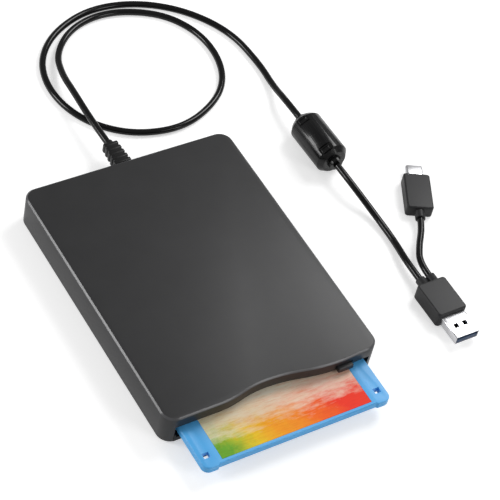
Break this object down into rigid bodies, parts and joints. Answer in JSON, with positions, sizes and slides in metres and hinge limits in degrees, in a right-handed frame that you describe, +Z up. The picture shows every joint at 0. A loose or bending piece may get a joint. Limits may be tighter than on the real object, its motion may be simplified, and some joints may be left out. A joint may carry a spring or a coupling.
{
  "type": "external floppy disk drive",
  "caption": "Slim external floppy drive with a partly inserted 3.5 inch disk and a fixed cord with a ferrite bead, a USB-A plug and a branched USB-C plug.",
  "frame": {"origin": "on the floor under the middle of the drive with its disk, cord left out", "axes": "+Z up, the disk slot faces -Y, +X to the right seen from the slot side looking along +Y"},
  "size_m": [0.186, 0.263, 0.016],
  "materials": {
    "cover_plastic": "fine matt moulding with satin edges",
    "base_plastic": "matt",
    "button_plastic": "satin",
    "foot_rubber": "matt",
    "screw_steel": "black oxide",
    "frame_steel": "galvanised sheet",
    "bright_steel": "ground",
    "motor_copper": "enamelled wire",
    "board_green": "lacquered board",
    "chip_black": "moulded",
    "head_plastic": "moulded",
    "disk_plastic": "satin moulding",
    "label_paper": "coated paper with a soft colour wash",
    "film_brown": "coated film",
    "shutter_steel": "brushed",
    "cord_jacket": "satin jacket",
    "boot_rubber": "moulded",
    "ferrite_gloss": "glossy",
    "ferrite_grey": "sintered",
    "plug_plastic": "satin overmould",
    "plug_steel": "nickel plated",
    "tongue_blue": "moulded",
    "contact_gold": "gold plated"
  },
  "bodies": {
    "housing": {"top_cover": "cover_plastic", "bottom_cover": "base_plastic", "rubber_feet": "foot_rubber", "case_screws": "screw_steel", "drive_frame": "frame_steel", "motor_board": "board_green", "motor_core": "motor_copper", "spindle_bearing": "bright_steel", "stepper_motor": "frame_steel", "guide_rod": "bright_steel", "interface_board": "board_green", "board_chips": "chip_black", "cord_socket": "head_plastic", "sensor_switches": "chip_black", "strain_relief": "boot_rubber", "cord_inner_end": "cord_jacket", "main_cable": "cord_jacket", "ferrite_upper_case": "ferrite_gloss", "ferrite_lower_case": "ferrite_gloss", "ferrite_core": "ferrite_grey", "cord_in_ferrite": "cord_jacket", "plug_cable": "cord_jacket", "branch_cable": "cord_jacket", "usb_a_overmould": "plug_plastic", "usb_a_shell": "plug_steel", "usb_a_tongue": "tongue_blue", "usb_a_contacts": "contact_gold", "usb_c_overmould": "plug_plastic", "usb_c_shell": "plug_steel", "usb_c_tongue": "chip_black"},
    "eject_parts": {"eject_button": "button_plastic", "eject_slider": "frame_steel", "eject_spring": "bright_steel"},
    "cradle": {"disk_cradle": "frame_steel"},
    "disk": {"disk_lower_shell": "disk_plastic", "disk_upper_shell": "disk_plastic", "disk_label": "label_paper"},
    "media": {"disk_hub": "bright_steel", "magnetic_film": "film_brown"},
    "shutter": {"disk_shutter": "shutter_steel"},
    "lock_tab": {"write_protect_tab": "chip_black"},
    "spindle": {"spindle_rotor": "bright_steel"},
    "lead_screw": {"lead_screw": "bright_steel"},
    "carriage": {"head_carriage": "head_plastic"},
    "head_arm": {"upper_head_arm": "head_plastic"},
    "lever": {"shutter_lever": "frame_steel"}
  },
  "joints": [
    {"name": "eject_slide", "type": "slide", "parent": "housing", "child": "eject_parts", "axis": [0, -1, 0], "range_m": [-0.0005, 0.004]},
    {"name": "cradle_lift", "type": "slide", "parent": "housing", "child": "cradle", "axis": [0, 0, 1], "range_m": [-0.0016, 0.0002]},
    {"name": "disk_slide", "type": "slide", "parent": "cradle", "child": "disk", "axis": [0, 1, 0], "range_m": [-0.075, 0.021]},
    {"name": "shutter_slide", "type": "slide", "parent": "disk", "child": "shutter", "axis": [1, 0, 0], "range_m": [-0.01, 0]},
    {"name": "lock_tab_slide", "type": "slide", "parent": "disk", "child": "lock_tab", "axis": [0, 1, 0], "range_m": [-0.003, 0]},
    {"name": "media_spin", "type": "hinge", "parent": "disk", "child": "media", "pos_m": [0, -0.0305, 0.0073], "axis": [0, 0, 1], "continuous": true},
    {"name": "spindle_spin", "type": "hinge", "parent": "housing", "child": "spindle", "pos_m": [0, -0.0095, 0.0035], "axis": [0, 0, 1], "continuous": true},
    {"name": "carriage_slide", "type": "slide", "parent": "housing", "child": "carriage", "axis": [0, 1, 0], "range_m": [-0.015, 0]},
    {"name": "lead_screw_spin", "type": "hinge", "parent": "housing", "child": "lead_screw", "pos_m": [0.014, 0.052, 0.0075], "axis": [0, 1, 0], "range_deg": [-1800, 0]},
    {"name": "head_arm_lift", "type": "hinge", "parent": "carriage", "child": "head_arm", "pos_m": [0, 0.06, 0.0113], "axis": [1, 0, 0], "range_deg": [-0.78, 6.2]},
    {"name": "lever_swing", "type": "hinge", "parent": "housing", "child": "lever", "pos_m": [-0.036, 0.044, 0.007], "axis": [0, 0, 1], "range_deg": [-60, 0]}
  ],
  "couplings": [
    {"joint": "cradle_lift", "follows": "eject_slide", "ratio": -0.4},
    {"joint": "head_arm_lift", "follows": "eject_slide", "rad_per_m": 27},
    {"joint": "lead_screw_spin", "follows": "carriage_slide", "rad_per_m": 2094.4}
  ]
}
